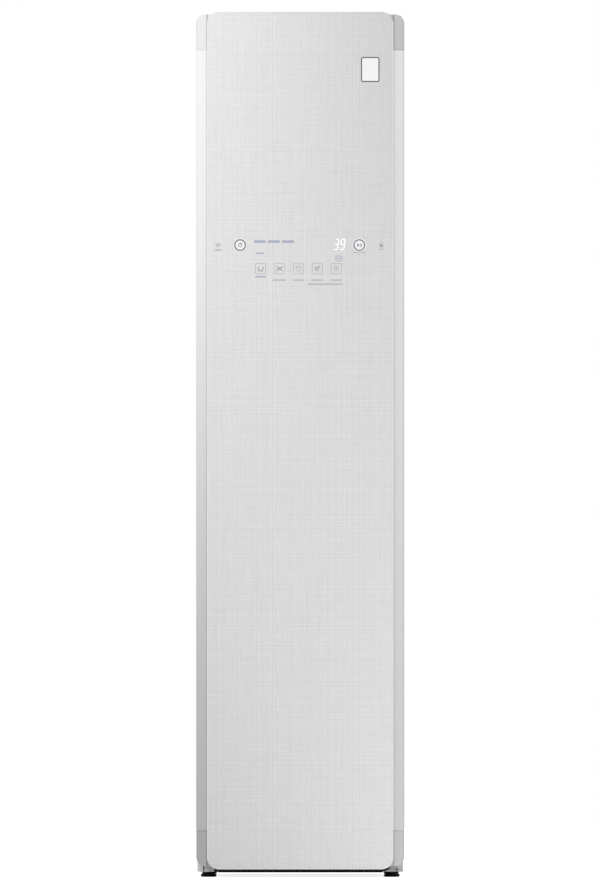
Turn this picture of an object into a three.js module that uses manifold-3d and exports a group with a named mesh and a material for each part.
// Clothes care steam cabinet: a tall, narrow appliance whose one door hangs on the right. Garments hang
// from a rail that a crank shakes, steam rises from the floor, and two water tanks stand under the
// chamber. Millimetres, +Z up, the door faces -Y, and the origin is on the floor at the middle.
import * as THREE from "three";
import { mergeVertices } from "three/addons/utils/BufferGeometryUtils.js";
import Module from "manifold-3d";

const wasm = await Module();
wasm.setup();

// Driving dimensions
const overall = { width: 445, depth: 585, height: 1850 };
const seat = 0.3; // gap between two pieces that touch
const overrun = 6; // how far a cutter passes the face that it opens
const sagitta = 0.28; // how far a facet lies inside its curve: less than a seat, so a pin clears its bore
const loftFacets = 5; // facets of each rounded corner of a lofted outline
const wholeTurn = 2 * Math.PI;

// Materials
const finish = (color, roughness, metalness) =>
  new THREE.MeshStandardMaterial({ color, roughness, metalness });
const materials = {
  linenGlass: finish(0xe2e2e1, 0.28, 0),
  doorTrim: finish(0xe9e9e9, 0.4, 0),
  capGrey: finish(0xcfd0d1, 0.45, 0),
  paintedSteel: finish(0xe6e6e6, 0.4, 0.1),
  topPlastic: finish(0xe0e0e0, 0.5, 0),
  liner: finish(0xdfe1e3, 0.5, 0),
  innerGrey: finish(0xb9bcc0, 0.5, 0),
  smokedTank: finish(0x9ea7ae, 0.25, 0),
  darkPlastic: finish(0x2b2c2e, 0.6, 0),
  rubber: finish(0x1b1b1c, 0.8, 0),
  seal: finish(0xd2d3d4, 0.7, 0),
  steel: finish(0xc4c6c8, 0.3, 1),
  aluminium: finish(0xcdd0d2, 0.4, 0.9),
  zincSteel: finish(0xaeb0b1, 0.45, 0.8),
  blackSteel: finish(0x262729, 0.5, 0.6),
  castAlloy: finish(0x9b9a96, 0.6, 0.7),
  foam: finish(0xf4f3ee, 0.9, 0),
  board: finish(0x1f5b3a, 0.6, 0),
  lens: finish(0xf6f7f8, 0.2, 0),
  hose: finish(0x55585b, 0.7, 0),
};

// A closed geometry as a solid: only positions are kept, shared vertices are merged, the triangles that
// close up at a pole are dropped, and one that is drawn inside out is turned.
function solidOf(geometry) {
  const bare = new THREE.BufferGeometry();
  bare.setAttribute("position", geometry.getAttribute("position"));
  bare.setIndex(geometry.getIndex());
  const merged = mergeVertices(bare);
  const index = merged.getIndex().array;
  const triVerts = [];
  for (let i = 0; i < index.length; i += 3) {
    const [a, b, c] = [index[i], index[i + 1], index[i + 2]];
    if (a !== b && b !== c && c !== a) triVerts.push(a, b, c);
  }
  const build = (order) =>
    new wasm.Manifold(
      new wasm.Mesh({
        numProp: 3,
        vertProperties: merged.getAttribute("position").array,
        triVerts: new Uint32Array(order),
      }),
    );
  const solid = build(triVerts);
  return solid.volume() < 0 ? build(triVerts.reverse()) : solid;
}

function block([x0, x1], [y0, y1], [z0, z1]) {
  const box = new THREE.BoxGeometry(x1 - x0, y1 - y0, z1 - z0);
  return solidOf(box.translate((x0 + x1) / 2, (y0 + y1) / 2, (z0 + z1) / 2));
}

const coarsest = 1 / 3; // no facet lies deeper inside its curve than this share of the radius
const facetTurn = (radius) => 2 * Math.acos(1 - Math.min(sagitta / radius, coarsest));

// An outline with rounded corners: each point is [u, v, radius], and an open one keeps its ends sharp.
// Outlines that are lofted to each other state how many facets each corner has.
function rounded(points, closed = true, facets) {
  const outline = [];
  const last = points.length - 1;
  points.forEach(([u, v, radius = 0], i) => {
    if (!radius || (!closed && (i === 0 || i === last))) {
      outline.push([u, v]);
      return;
    }
    const corner = new THREE.Vector2(u, v);
    const toward = (j) => {
      const [a, b] = points[(j + points.length) % points.length];
      return new THREE.Vector2(a, b).sub(corner).normalize();
    };
    const before = toward(i - 1);
    const after = toward(i + 1);
    const half = Math.acos(THREE.MathUtils.clamp(before.dot(after), -1, 1)) / 2;
    const reach = radius / Math.tan(half);
    const middle = before.clone().add(after).normalize();
    const centre = corner.clone().addScaledVector(middle, radius / Math.sin(half));
    const from = corner.clone().addScaledVector(before, reach).sub(centre).angle();
    const to = corner.clone().addScaledVector(after, reach).sub(centre).angle();
    let turn = to - from;
    if (turn > Math.PI) turn -= wholeTurn;
    if (turn < -Math.PI) turn += wholeTurn;
    const steps = facets ?? Math.max(2, Math.round(Math.abs(turn) / facetTurn(radius)));
    for (let k = 0; k <= steps; k += 1) {
      const angle = from + (turn * k) / steps;
      outline.push([centre.x + radius * Math.cos(angle), centre.y + radius * Math.sin(angle)]);
    }
  });
  return outline;
}

const rectangle = ([u0, u1], [v0, v1], radius = 0, facets) =>
  rounded(
    [
      [u0, v0, radius],
      [u1, v0, radius],
      [u1, v1, radius],
      [u0, v1, radius],
    ],
    true,
    facets,
  );

const sidesOf = (radius) => 4 * Math.ceil(wholeTurn / facetTurn(radius) / 4);

const circle = ([u, v], radius, sides = sidesOf(radius)) =>
  Array.from({ length: sides }, (_, k) => [
    u + radius * Math.cos((wholeTurn * k) / sides),
    v + radius * Math.sin((wholeTurn * k) / sides),
  ]);

// A wall of even thickness along an open path, on the left of its direction: [u, v] points in, outline out.
function wallAlong(path, thickness) {
  const points = path.map(([u, v]) => new THREE.Vector2(u, v));
  const normals = points.slice(1).map((p, i) => {
    const along = p.clone().sub(points[i]).normalize();
    return new THREE.Vector2(-along.y, along.x);
  });
  const offset = points.map((p, i) => {
    const a = normals[Math.max(i - 1, 0)];
    const b = normals[Math.min(i, normals.length - 1)];
    const mitre = a.clone().add(b).divideScalar(1 + a.dot(b));
    const q = p.clone().addScaledVector(mitre, thickness);
    return [q.x, q.y];
  });
  return [...path.map(([u, v]) => [u, v]), ...offset.reverse()];
}

// Draws an outline out along an axis. Its two coordinates are [x, y] for z, [x, z] for y and [y, z] for x.
const unit = {
  x: new THREE.Vector3(1, 0, 0),
  y: new THREE.Vector3(0, 1, 0),
  z: new THREE.Vector3(0, 0, 1),
};
const bases = {
  z: new THREE.Matrix4(),
  y: new THREE.Matrix4().makeBasis(unit.x, unit.z, unit.y.clone().negate()),
  x: new THREE.Matrix4().makeBasis(unit.y, unit.z, unit.x),
};

function prism(axis, outline, [from, to], holes = []) {
  const shape = new THREE.Shape(outline.map(([u, v]) => new THREE.Vector2(u, v)));
  const geometry = new THREE.ExtrudeGeometry(shape, { depth: to - from, bevelEnabled: false });
  geometry.translate(0, 0, axis === "y" ? -to : from);
  const solid = solidOf(geometry.applyMatrix4(bases[axis]));
  return cut(solid, ...holes.map((hole) => prism(axis, hole, [from - overrun, to + overrun])));
}

const rod = (axis, centre, radius, span) => prism(axis, circle(centre, radius), span);

// Turned about a vertical axis through [x, y]: each profile point is [radius, z].
function turned(profile, [x, y] = [0, 0]) {
  const points = profile.map(([r, z]) => new THREE.Vector2(r, z));
  const sides = sidesOf(Math.max(...profile.map(([r]) => r)));
  const geometry = new THREE.LatheGeometry(points, sides);
  return solidOf(geometry.rotateX(Math.PI / 2).translate(x, y, 0));
}

// A skin over rings of points. The rings close on each other, or the two end rings are filled.
function skin(rings, loops) {
  const n = rings[0].length;
  const index = [];
  const bands = loops ? rings.length : rings.length - 1;
  for (let i = 0; i < bands; i += 1) {
    for (let j = 0; j < n; j += 1) {
      const a = i * n + j;
      const b = i * n + ((j + 1) % n);
      const c = ((i + 1) % rings.length) * n + j;
      const d = ((i + 1) % rings.length) * n + ((j + 1) % n);
      index.push(a, b, d, a, d, c);
    }
  }
  if (!loops) {
    const end = (rings.length - 1) * n;
    for (let j = 1; j < n - 1; j += 1) index.push(0, j + 1, j, end, end + j, end + j + 1);
  }
  const geometry = new THREE.BufferGeometry();
  geometry.setAttribute("position", new THREE.Float32BufferAttribute(rings.flat(2), 3));
  geometry.setIndex(index);
  return solidOf(geometry);
}

// A round bar along a smooth line through points [x, y, z].
const tension = 0.4;
const barFacets = 6;

function bar(points, radius, steps, sides = barFacets) {
  const line = new THREE.CatmullRomCurve3(
    points.map((p) => new THREE.Vector3(...p)),
    false,
    "catmullrom",
    tension,
  );
  const section = new THREE.Shape(circle([0, 0], radius, sides).map(([u, v]) => new THREE.Vector2(u, v)));
  return solidOf(new THREE.ExtrudeGeometry(section, { steps, extrudePath: line }));
}

const join = (first, ...others) => others.reduce((all, next) => all.add(next), first);
const cut = (first, ...others) => others.reduce((all, next) => all.subtract(next), first);
const evenly = (count, from, to) =>
  Array.from({ length: count }, (_, k) => from + ((to - from) * (k + 1 / 2)) / count);
const span = (centre, size) => [centre - size / 2, centre + size / 2];
const mirrored = (half) => [-half, half];
const inside = ([from, to], margin) => [from + margin, to - margin];

// A row of equal slots between two ends: each one's width is its share of the pitch
const slotRow = (count, [from, to], share, across) =>
  evenly(count, from, to).map((u) => rectangle(span(u, (share * (to - from)) / count), across));
const slotShares = { kick: 0.41, filter: 0.54, grille: 0.56, aroma: 0.52, fins: 0.78, press: 0.8 };

function add(group, name, solid, material, position = [0, 0, 0]) {
  const { vertProperties, triVerts } = solid.getMesh();
  const geometry = new THREE.BufferGeometry();
  geometry.setAttribute("position", new THREE.BufferAttribute(new Float32Array(vertProperties), 3));
  geometry.setIndex(new THREE.BufferAttribute(new Uint32Array(triVerts), 1));
  geometry.computeVertexNormals();
  const mesh = new THREE.Mesh(geometry, material);
  mesh.name = name;
  mesh.position.set(...position);
  group.add(mesh);
}

const product = new THREE.Group();
const cabinet = new THREE.Group();
const door = new THREE.Group();
product.add(cabinet, door);

// Main planes, from the front to the back and from the floor up
const doorDepth = 58;
const gasketRoom = 12;
const cabinetInset = 2; // the cabinet is this much narrower than the door on each side
const topDrop = 5; // the cabinet's top is this much lower than the door panel's
const floorClearance = 11;
const frontFace = -overall.depth / 2;
const rearFace = overall.depth / 2;
const doorRear = frontFace + doorDepth;
const cabinetFront = doorRear + gasketRoom;
const doorHalf = overall.width / 2;
const cabinetHalf = doorHalf - cabinetInset;
const cabinetTop = overall.height - topDrop;

// Levelling feet: a moulded disc with a threaded stud that turns in the base
const foot = {
  radius: 17,
  rim: 7,
  height: 9,
  hub: 8,
  stud: 4,
  studLength: 24,
  inset: 24.5,
  setBack: 30,
};
const footX = cabinetHalf - foot.inset;
const footY = { front: cabinetFront + foot.setBack, rear: rearFace - foot.setBack };

function footSolid() {
  return turned([
    [0, 0],
    [foot.radius, 0],
    [foot.radius, foot.rim],
    [foot.hub, foot.height],
    [foot.hub, floorClearance - seat],
    [foot.stud, floorClearance - seat],
    [foot.stud, floorClearance + foot.studLength],
    [0, floorClearance + foot.studLength],
  ]);
}

for (const [place, y] of Object.entries(footY)) {
  add(cabinet, `foot_${place}_left`, footSolid(), materials.rubber, [-footX, y, 0]);
  add(cabinet, `foot_${place}_right`, footSolid(), materials.rubber, [footX, y, 0]);
}

// Hinges, in plan: the plates reach from the cabinet over and under the door's end caps, to a pin in each
const hinge = {
  sideRoom: 17.5,
  setBack: 40.5,
  pin: 5,
  pinLength: 22,
  plate: 3,
  half: 12.5,
  onCabinet: 34,
  inboard: 27,
  legHeight: 38,
  corner: 9,
  clearance: 0.6,
  sweep: 31,
};
const hingeY = frontFace + hinge.setBack;
const hingeAt = [doorHalf - hinge.sideRoom, hingeY];
const hingeX = [hingeAt[0] - hinge.inboard, hingeAt[0] + hinge.half];

function hingePlateOutline(rear) {
  return rounded([
    [hingeX[0], hingeY - hinge.half, hinge.corner],
    [hingeX[1], hingeY - hinge.half, hinge.corner],
    [hingeX[1], rear, hinge.corner / 3],
    [hingeX[0], rear, hinge.corner / 3],
  ]);
}

// Outer casing: two folded side panels, a back sheet and a top cover
const casing = {
  sheet: 1.5,
  frontFlange: 13.9,
  rearFlange: 14,
  bend: 2.5,
  topHeight: 20,
  topWall: 2.5,
  topCorner: 6,
};
const casingInside = cabinetHalf - casing.sheet;
const backSheetFront = rearFace - casing.sheet;
const sideTop = cabinetTop - casing.topHeight - seat;
const topCeiling = cabinetTop - casing.topWall;
const upperPlateZ = [topCeiling - seat - hinge.plate, topCeiling - seat];

function sidePanel(side) {
  const outer = side * cabinetHalf;
  const rear = backSheetFront - seat;
  const path = rounded(
    [
      [outer - side * casing.frontFlange, cabinetFront],
      [outer, cabinetFront, casing.bend],
      [outer, rear, casing.bend],
      [outer - side * casing.rearFlange, rear],
    ],
    false,
  );
  return prism("z", wallAlong(path, side * casing.sheet), [floorClearance, sideTop]);
}

add(cabinet, "left_side_panel", sidePanel(-1), materials.paintedSteel);
add(cabinet, "right_side_panel", sidePanel(1), materials.paintedSteel);

// The top cover is a shallow lid; the upper hinge's plate passes through a slot at its front right corner
function topCover() {
  const bottom = cabinetTop - casing.topHeight;
  const lid = prism(
    "z",
    rectangle(mirrored(cabinetHalf), [cabinetFront, rearFace], casing.topCorner),
    [bottom, cabinetTop],
  );
  const hollow = prism(
    "z",
    rectangle(
      mirrored(cabinetHalf - casing.topWall),
      [cabinetFront + casing.topWall, rearFace - casing.topWall],
      casing.topCorner - casing.topWall,
    ),
    [bottom - overrun, topCeiling],
  );
  const hingeSlot = block(
    [hingeX[0] - hinge.clearance, hingeX[1] + seat],
    [cabinetFront - overrun, cabinetFront + overrun],
    [upperPlateZ[0] - hinge.clearance, topCeiling],
  );
  return cut(lid, hollow, hingeSlot);
}

add(cabinet, "top_cover", topCover(), materials.topPlastic);

// Base tray: a pressed pan that carries the machinery, with a boss over each foot
const base = {
  sheet: 2,
  corner: 4,
  height: 48,
  boss: 11,
  bossHeight: 28,
  ventGap: 1,
  ventDepth: 16,
};
const trayHalf = casingInside - seat;
const trayFront = cabinetFront + casing.sheet + seat;
const trayRear = backSheetFront - casing.sheet - 2 * seat;
const trayFloor = floorClearance + base.sheet;
const trayTop = floorClearance + base.height;
const ventHalf = footX - base.boss - base.ventGap;

function baseTray() {
  const pan = cut(
    prism("z", rectangle([-trayHalf, trayHalf], [trayFront, trayRear], base.corner), [
      floorClearance,
      trayTop,
    ]),
    block(
      [-trayHalf + base.sheet, trayHalf - base.sheet],
      [trayFront + base.sheet, trayRear - base.sheet],
      [trayFloor, trayTop + overrun],
    ),
  );
  const feet = Object.values(footY).flatMap((y) => [
    [-footX, y],
    [footX, y],
  ]);
  const bosses = feet.map((at) =>
    rod("z", at, base.boss, [floorClearance, floorClearance + base.bossHeight]),
  );
  const boreZ = [floorClearance - overrun, floorClearance + base.bossHeight + overrun];
  const bores = feet.map((at) => rod("z", at, foot.stud + seat, boreZ));
  const vent = block(
    mirrored(ventHalf),
    [trayFront - overrun, trayFront + base.ventDepth],
    [floorClearance - overrun, trayTop + overrun],
  );
  return cut(join(pan, ...bosses), vent, ...bores);
}

add(cabinet, "base_tray", baseTray(), materials.zincSteel);

// Kick plate: a dark louvred strip set back under the door, where the machine room breathes
const kick = { thickness: 3, recess: 9, slots: 12, slotMargin: 12 };
const kickHalf = ventHalf - seat;
const kickFront = trayFront + kick.recess;

function kickPlate() {
  const slotZ = [floorClearance + kick.slotMargin, trayTop - kick.slotMargin];
  const slots = slotRow(kick.slots, mirrored(kickHalf - kick.slotMargin), slotShares.kick, slotZ);
  const face = prism(
    "y",
    rectangle(mirrored(kickHalf), [floorClearance, trayTop]),
    [kickFront, kickFront + kick.thickness],
    slots,
  );
  const shelfBack = block(
    mirrored(kickHalf),
    [kickFront, trayFront + base.ventDepth - seat],
    [floorClearance, floorClearance + kick.thickness],
  );
  return join(face, shelfBack);
}

add(cabinet, "kick_plate", kickPlate(), materials.darkPlastic);

// Front frame: the moulded face that the door seal closes on, with a mouth for the chamber and one for the
// tanks
const frame = { thickness: 3, border: 24.3, topBorder: 97.7 };
const frameHalf = cabinetHalf - casing.frontFlange - seat;
const frameRear = cabinetFront + frame.thickness;
const frameBottom = trayTop + seat;
const mouthHalf = frameHalf - frame.border;
const chamberMouth = { bottom: 362, top: sideTop - frame.topBorder, corner: 10 };
const tankMouth = { bottom: 84, top: 285, corner: 2.5 };

const mouth = ({ bottom, top, corner }) => rectangle(mirrored(mouthHalf), [bottom, top], corner);
add(
  cabinet,
  "front_frame",
  prism(
    "y",
    rectangle(mirrored(frameHalf), [frameBottom, sideTop]),
    [cabinetFront, frameRear],
    [mouth(chamberMouth), mouth(tankMouth)],
  ),
  materials.liner,
);

// Chamber: one moulded liner, open to the front, where the garments hang
const chamber = {
  wall: 3,
  rearRoom: 103.3,
  rearCorner: 27,
  floorStep: 2,
  shelfRise: 200,
  ledge: { width: 9, length: 60, height: 8, inset: 40 },
};
const chamberFloor = chamberMouth.bottom - chamber.floorStep;
const chamberTop = chamberMouth.top;
const chamberHalf = mouthHalf;
const linerFront = frameRear + seat;
const chamberRear = rearFace - chamber.rearRoom;
const shelfLevel = chamberFloor + chamber.shelfRise;

// Floor pieces: the lint filter's well at the front and the warm air grille at the back
const filter = {
  sideRoom: 42,
  frontRoom: 15.2,
  depth: 58,
  lip: 6,
  lipHeight: 3,
  wall: 2,
  drop: 34,
  slots: 12,
  slotMargin: 10,
  tab: { width: 46, height: 7, depth: 4 },
};
const grille = {
  sideRoom: 62,
  rearRoom: 20,
  depth: 62,
  lip: 6,
  lipHeight: 3,
  plug: 10,
  slots: 10,
  slotMargin: 9,
};
const aroma = { width: 56, depth: 40, drop: 14, lip: 4, lipHeight: 3, inset: 8, slots: 5 };
const railDrop = 77;
const railLine = { y: (linerFront + chamberRear) / 2, z: chamberTop - railDrop };
const shaft = { radius: 5, hole: 8 };
const nozzle = { sideRoom: 72, rise: 70, pipe: 6, flange: 16, flangeThickness: 5, reach: 14 };
const nozzleAt = [nozzle.sideRoom - chamberHalf, chamberFloor + nozzle.rise];

const wellX = mirrored(chamberHalf - filter.sideRoom);
const wellY = [linerFront + filter.frontRoom, linerFront + filter.frontRoom + filter.depth];
const grilleX = mirrored(chamberHalf - grille.sideRoom);
const grilleY = [chamberRear - grille.rearRoom - grille.depth, chamberRear - grille.rearRoom];

function cavityLiner() {
  const plan = (grow, from) =>
    rounded([
      [-chamberHalf - grow, from],
      [chamberHalf + grow, from],
      [chamberHalf + grow, chamberRear + grow, chamber.rearCorner + grow],
      [-chamberHalf - grow, chamberRear + grow, chamber.rearCorner + grow],
    ]);
  const shell = cut(
    prism("z", plan(chamber.wall, linerFront), [chamberFloor - chamber.wall, chamberTop + chamber.wall]),
    prism("z", plan(0, linerFront - overrun), [chamberFloor, chamberTop]),
  );
  const floorCut = [chamberFloor - chamber.wall - overrun, chamberFloor + overrun];
  const cutters = [
    block(wellX, wellY, floorCut),
    block(grilleX, grilleY, floorCut),
    rod("z", [0, railLine.y], shaft.hole, [chamberTop - overrun, chamberTop + chamber.wall + overrun]),
    rod("y", nozzleAt, nozzle.pipe + seat, [chamberRear - overrun, chamberRear + chamber.wall + overrun]),
  ];
  const { width, length, height, inset } = chamber.ledge;
  const ledgeRows = [
    [linerFront + inset, linerFront + inset + length],
    [chamberRear - inset - length, chamberRear - inset],
  ];
  const ledges = ledgeRows.flatMap((y) => [
    block([-chamberHalf - chamber.wall / 2, -chamberHalf + width], y, [shelfLevel - height, shelfLevel]),
    block([chamberHalf - width, chamberHalf + chamber.wall / 2], y, [shelfLevel - height, shelfLevel]),
  ]);
  return cut(join(shell, ...ledges), ...cutters);
}

add(cabinet, "cavity_liner", cavityLiner(), materials.liner);

// Lint filter: a slotted lid over an open cassette, lifted out of its well by two tabs
function lintFilter() {
  const lidZ = [chamberFloor + seat, chamberFloor + seat + filter.lipHeight];
  const slots = slotRow(filter.slots, inside(wellX, filter.slotMargin), slotShares.filter, [
    wellY[0] + filter.slotMargin,
    wellY[1] - filter.slotMargin,
  ]);
  const lid = prism(
    "z",
    rectangle(inside(wellX, -filter.lip), inside(wellY, -filter.lip), filter.lip),
    lidZ,
    slots,
  );
  const bodyX = inside(wellX, seat);
  const bodyY = inside(wellY, seat);
  const cassette = cut(
    block(bodyX, bodyY, [chamberFloor - filter.drop, lidZ[0] + filter.lipHeight / 2]),
    block(inside(bodyX, filter.wall), inside(bodyY, filter.wall), [
      chamberFloor - filter.drop - overrun,
      lidZ[0],
    ]),
  );
  const tabs = [-1, 1].map((side) =>
    block(
      span(side * (wellX[1] - filter.tab.width), filter.tab.width),
      [wellY[0] - filter.lip, wellY[0] - filter.lip + filter.tab.depth],
      [lidZ[0], lidZ[1] + filter.tab.height],
    ),
  );
  const openings = slots.map((slot) => prism("z", slot, [lidZ[0] - overrun, lidZ[1] + overrun]));
  return cut(join(cassette, lid, ...tabs), ...openings);
}

add(cabinet, "lint_filter", lintFilter(), materials.innerGrey);

// Warm air grille, with a pocket for the scent cartridge at its right end
const aromaX = [grilleX[1] - aroma.inset - aroma.width, grilleX[1] - aroma.inset];
const aromaY = span((grilleY[0] + grilleY[1]) / 2, aroma.depth);

function floorGrille() {
  const lidZ = [chamberFloor + seat, chamberFloor + seat + grille.lipHeight];
  const slots = slotRow(
    grille.slots,
    [grilleX[0] + grille.slotMargin, aromaX[0] - grille.slotMargin],
    slotShares.grille,
    inside(grilleY, grille.slotMargin),
  );
  const holes = [...slots, rectangle(aromaX, aromaY)];
  const lid = prism(
    "z",
    rectangle(inside(grilleX, -grille.lip), inside(grilleY, -grille.lip), grille.lip),
    lidZ,
    holes,
  );
  const plug = prism(
    "z",
    rectangle(inside(grilleX, seat), inside(grilleY, seat)),
    [chamberFloor - grille.plug, lidZ[0] + grille.lipHeight / 2],
    holes,
  );
  return join(plug, lid);
}

add(cabinet, "floor_grille", floorGrille(), materials.innerGrey);

function aromaCartridge() {
  const lidBottom = chamberFloor + grille.lipHeight + 2 * seat;
  const slots = slotRow(aroma.slots, inside(aromaX, aroma.lip), slotShares.aroma, inside(aromaY, aroma.lip));
  const lid = prism(
    "z",
    rectangle(inside(aromaX, -aroma.lip), inside(aromaY, -aroma.lip), aroma.lip / 2),
    [lidBottom, lidBottom + aroma.lipHeight],
    slots,
  );
  const body = prism(
    "z",
    rectangle(inside(aromaX, seat), inside(aromaY, seat)),
    [chamberFloor - aroma.drop, lidBottom + aroma.lipHeight / 2],
    slots,
  );
  return join(body, lid);
}

add(cabinet, "aroma_cartridge", aromaCartridge(), materials.capGrey);

// Steam nozzle in the chamber's rear wall
function steamNozzle() {
  const faceY = chamberRear - seat;
  const pipeEnd = chamberRear + chamber.wall + nozzle.reach;
  const flange = rod("y", nozzleAt, nozzle.flange, [faceY - nozzle.flangeThickness, faceY]);
  const pipe = rod("y", nozzleAt, nozzle.pipe, [faceY - nozzle.flangeThickness / 2, pipeEnd]);
  const hood = block(
    span(nozzleAt[0], nozzle.flange),
    [faceY - 2 * nozzle.flangeThickness, faceY - nozzle.flangeThickness / 2],
    [nozzleAt[1], nozzleAt[1] + nozzle.flange / 2],
  );
  const bore = rod("y", [nozzleAt[0], nozzleAt[1] - nozzle.pipe / 4], nozzle.pipe / 2, [
    faceY - 2 * nozzle.flangeThickness - overrun,
    pipeEnd + overrun,
  ]);
  return cut(join(flange, pipe, hood), bore);
}

add(cabinet, "steam_nozzle", steamNozzle(), materials.innerGrey);

// Wire shelf that rests on the liner's four ledges
const shelf = { wire: 3, cross: 2.2, wires: 9, frontRoom: 71.2, sideGap: 2, reach: 2 };

function wireShelf() {
  const half = chamberHalf - shelf.sideGap - shelf.wire;
  const z = shelfLevel + seat + shelf.wire;
  const y = [linerFront + shelf.frontRoom, chamberRear - chamber.rearCorner];
  const rails = [-half, half].map((x) => rod("y", [x, z], shelf.wire, y));
  const cross = evenly(shelf.wires, y[0] - shelf.reach, y[1] + shelf.reach).map((at) =>
    rod("x", [at, z + shelf.wire - shelf.cross], shelf.cross, mirrored(half)),
  );
  return join(rails[0], rails[1], ...cross);
}

add(cabinet, "wire_shelf", wireShelf(), materials.steel);

// Hanger drive: a rail with hook notches slides on two end rods, and a crank over it works in a pocket of
// its yoke
const stroke = 15;
const rail = {
  endRoom: 64,
  depth: 26,
  height: 20,
  edge: 3,
  rod: 5,
  rodEnd: 46,
  notchInsets: [14, 42],
  notchWidth: 9,
  notchDepth: 9,
  notchCorner: 3,
  hollow: 5,
};
const railHalf = chamberHalf - rail.endRoom;
const crank = { disc: 24, discThickness: 6, pin: 5, pinLength: 17, boss: 9, underCeiling: 9 };
const yoke = { neckHalf: 14, half: 33, wall: 7, play: 3.6, height: 18, pocket: 12, pinDip: 11 };
const cover = { half: 58, wall: 2.5, frontReach: 46, rearReach: 34, corner: 8, gap: 3 };
const guide = { room: 46, width: 10, depth: 24, foot: 34, footHeight: 5, below: 12 };
const guideInner = chamberHalf - guide.room;

const discZ = [
  chamberTop - crank.underCeiling - crank.discThickness,
  chamberTop - crank.underCeiling,
];
const pinBottom = discZ[0] - crank.pinLength;
const yokeTop = pinBottom + yoke.pinDip;
const yokeBottom = yokeTop - yoke.height;
const beamTop = railLine.z + rail.height / 2;
const beamBottom = railLine.z - rail.height / 2;

function hangerRail() {
  const beamY = span(railLine.y, rail.depth);
  const beam = prism("x", rectangle(beamY, [beamBottom, beamTop], rail.edge), mirrored(railHalf));
  const notchBottom = beamTop - rail.notchDepth;
  const notches = rail.notchInsets
    .flatMap((inset) => mirrored(railHalf - inset))
    .map((x) =>
      prism(
        "y",
        rounded([
          [x - rail.notchWidth, beamTop + overrun],
          [x - rail.notchWidth / 2, notchBottom, rail.notchCorner],
          [x + rail.notchWidth / 2, notchBottom, rail.notchCorner],
          [x + rail.notchWidth, beamTop + overrun],
        ]),
        inside(beamY, -overrun),
      ),
    );
  const underside = block(mirrored(railHalf - rail.hollow), inside(beamY, rail.hollow), [
    beamBottom - overrun,
    beamBottom + rail.hollow,
  ]);
  const rodInner = railHalf - rail.hollow;
  const rodOuter = railHalf + rail.rodEnd;
  const ends = [
    [-rodOuter, -rodInner],
    [rodInner, rodOuter],
  ].map((x) => rod("x", [railLine.y, railLine.z], rail.rod, x));
  return join(cut(beam, underside, ...notches), ...ends);
}

add(cabinet, "hanger_rail", hangerRail(), materials.aluminium);

// The yoke's pocket is wider than the pin, because the pin swings on an arc while the rail runs straight
function driveYoke() {
  const pocketX = mirrored(crank.pin + yoke.play);
  const pocketY = [railLine.y - stroke - crank.pin - 2 * seat, railLine.y + crank.pin + 2 * seat];
  const head = prism("z", rectangle(mirrored(yoke.half), inside(pocketY, -yoke.wall), yoke.wall), [
    yokeBottom,
    yokeTop,
  ]);
  const neck = block(mirrored(yoke.neckHalf), span(railLine.y, rail.depth), [
    beamTop + seat,
    yokeBottom + overrun,
  ]);
  const pocket = block(pocketX, pocketY, [yokeTop - yoke.pocket, yokeTop + overrun]);
  return cut(join(head, neck), pocket);
}

add(cabinet, "drive_yoke", driveYoke(), materials.innerGrey);

const crankGroup = new THREE.Group();
crankGroup.position.set(0, railLine.y, 0);
cabinet.add(crankGroup);

const motor = {
  radius: 29,
  height: 52,
  gearbox: 36,
  gearboxHeight: 14,
  plate: 3,
  standoff: 18,
  plateHalf: 70,
};
const motorPlateTop = chamberTop + chamber.wall + motor.standoff;

function crankDisc() {
  const disc = rod("z", [0, 0], crank.disc, discZ);
  const boss = rod("z", [0, 0], crank.boss, inside(discZ, -crank.discThickness / 2));
  const shaftRod = rod("z", [0, 0], shaft.radius, [discZ[1], motorPlateTop - seat]);
  const balance = rod("z", [0, stroke], crank.boss / 2, inside(discZ, -overrun));
  const pin = rod("z", [0, -stroke], crank.pin, [pinBottom, discZ[1]]);
  return cut(join(disc, boss, shaftRod, pin), balance);
}

add(crankGroup, "crank_disc", crankDisc(), materials.zincSteel);

// Cover round the crank and yoke, hung from the chamber's ceiling, with a slot for the yoke's neck
function driveCover() {
  const y = [railLine.y - cover.frontReach, railLine.y + cover.rearReach];
  const bottom = yokeBottom - cover.gap - cover.wall;
  const shell = cut(
    prism("z", rectangle(mirrored(cover.half), y, cover.corner), [bottom, chamberTop - seat]),
    prism(
      "z",
      rectangle(mirrored(cover.half - cover.wall), inside(y, cover.wall), cover.corner - cover.wall),
      [bottom + cover.wall, chamberTop + overrun],
    ),
  );
  const reach = yoke.neckHalf + stroke + cover.gap;
  const slotY = span(railLine.y, rail.depth + 2 * cover.gap);
  return cut(shell, block(mirrored(reach), slotY, [bottom - overrun, bottom + overrun]));
}

add(cabinet, "drive_cover", driveCover(), materials.liner);

// Guides that the rail's end rods slide in
function railGuide(side) {
  const x = span(side * (guideInner + guide.width / 2), guide.width);
  const post = prism(
    "x",
    rounded([
      [railLine.y - guide.depth / 2, railLine.z - guide.below, guide.depth / 3],
      [railLine.y + guide.depth / 2, railLine.z - guide.below, guide.depth / 3],
      [railLine.y + guide.depth / 2, chamberTop - seat],
      [railLine.y - guide.depth / 2, chamberTop - seat],
    ]),
    x,
  );
  const mount = block(span((x[0] + x[1]) / 2, guide.foot), span(railLine.y, guide.foot), [
    chamberTop - seat - guide.footHeight,
    chamberTop - seat,
  ]);
  const bore = rod("x", [railLine.y, railLine.z], rail.rod + seat, inside(x, -overrun));
  return cut(join(post, mount), bore);
}

add(cabinet, "rail_guide_left", railGuide(-1), materials.innerGrey);
add(cabinet, "rail_guide_right", railGuide(1), materials.innerGrey);

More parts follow.
